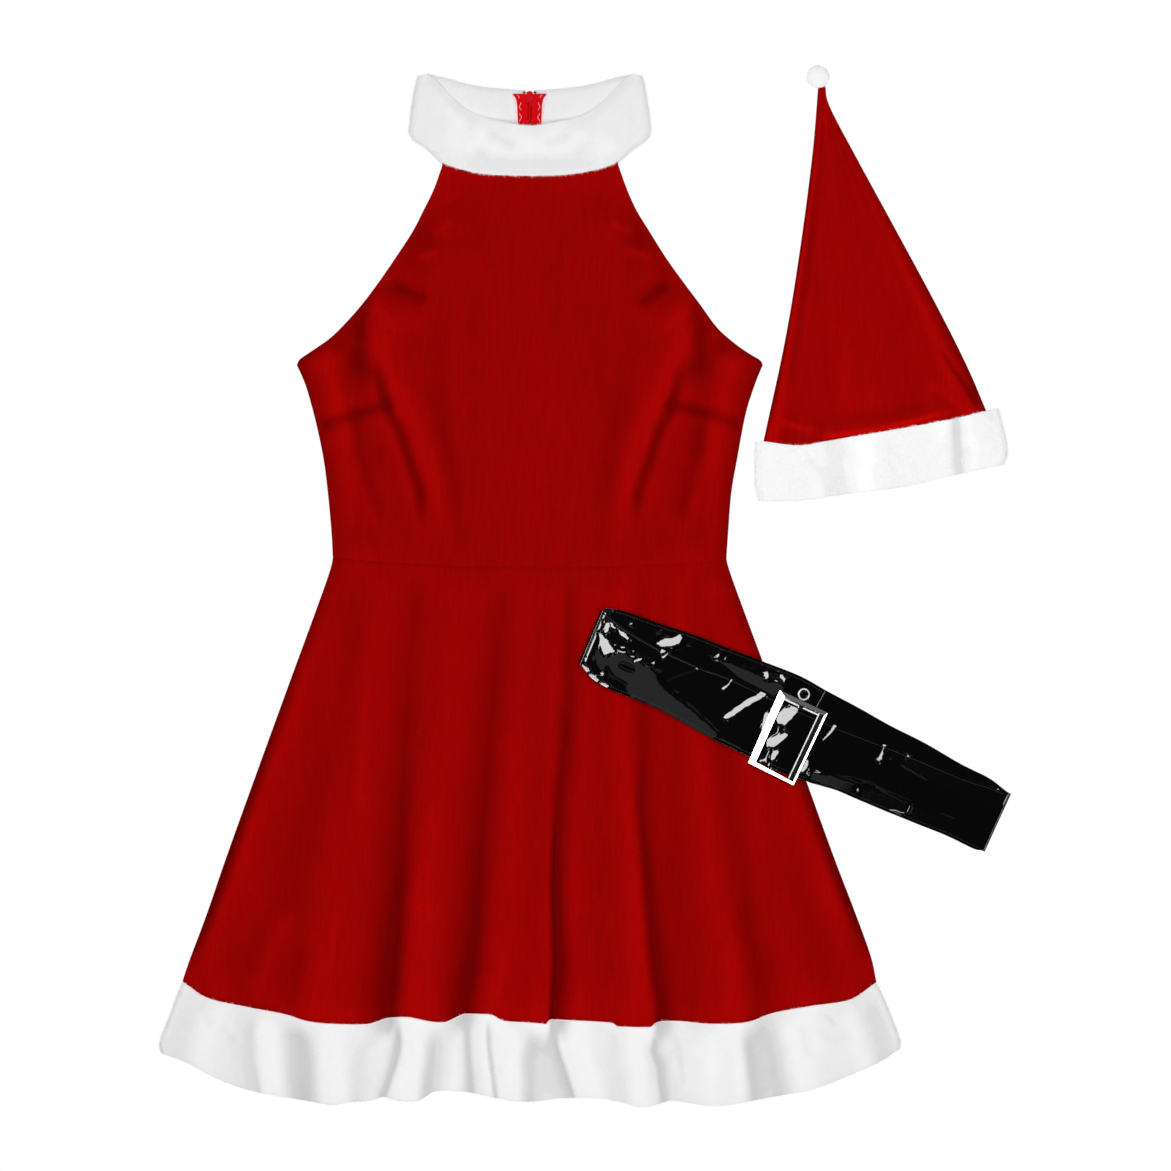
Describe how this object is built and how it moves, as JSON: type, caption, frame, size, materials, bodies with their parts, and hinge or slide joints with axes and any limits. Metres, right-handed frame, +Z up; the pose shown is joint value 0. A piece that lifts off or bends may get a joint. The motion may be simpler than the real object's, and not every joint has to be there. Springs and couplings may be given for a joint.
{
  "type": "santa dress costume",
  "caption": "Sleeveless red velvet dress with white fur collar and hem, laid flat with its pointed hat and a wide black belt.",
  "frame": {"origin": "middle of the set's outline in plan, on the surface that it lies on", "axes": "+X to the right of the laid-out front, +Y towards the collar, +Z up out of the dress front"},
  "size_m": [0.8083, 0.9888, 0.0275],
  "materials": {
    "velvet": "stretch velvet, soft sheen",
    "fur": "short dense pile",
    "zip_tape": "woven tape",
    "zip_metal": "coated red",
    "patent": "glossy patent coating",
    "chrome": "polished"
  },
  "bodies": {
    "costume": {"bodice_front": "velvet", "bodice_back_left": "velvet", "bodice_back_right": "velvet", "skirt_front": "velvet", "skirt_back_left": "velvet", "skirt_back_right": "velvet", "hem_band": "fur", "collar": "fur", "hat_front": "velvet", "hat_back": "velvet", "hat_band": "fur", "hat_pompom": "fur", "belt_strap": "patent", "buckle_frame": "chrome", "press_stud": "chrome", "zip_tape_left": "zip_tape", "zip_tape_right": "zip_tape", "zip_slider": "zip_metal"},
    "zip_pull": {"zip_pull": "zip_metal"}
  },
  "joints": [
    {"name": "zip_pull_swing", "type": "hinge", "parent": "costume", "child": "zip_pull", "pos_m": [-0.0531, 0.46408, 0.00275], "axis": [1, 0, 0], "range_deg": [0, 170]}
  ]
}
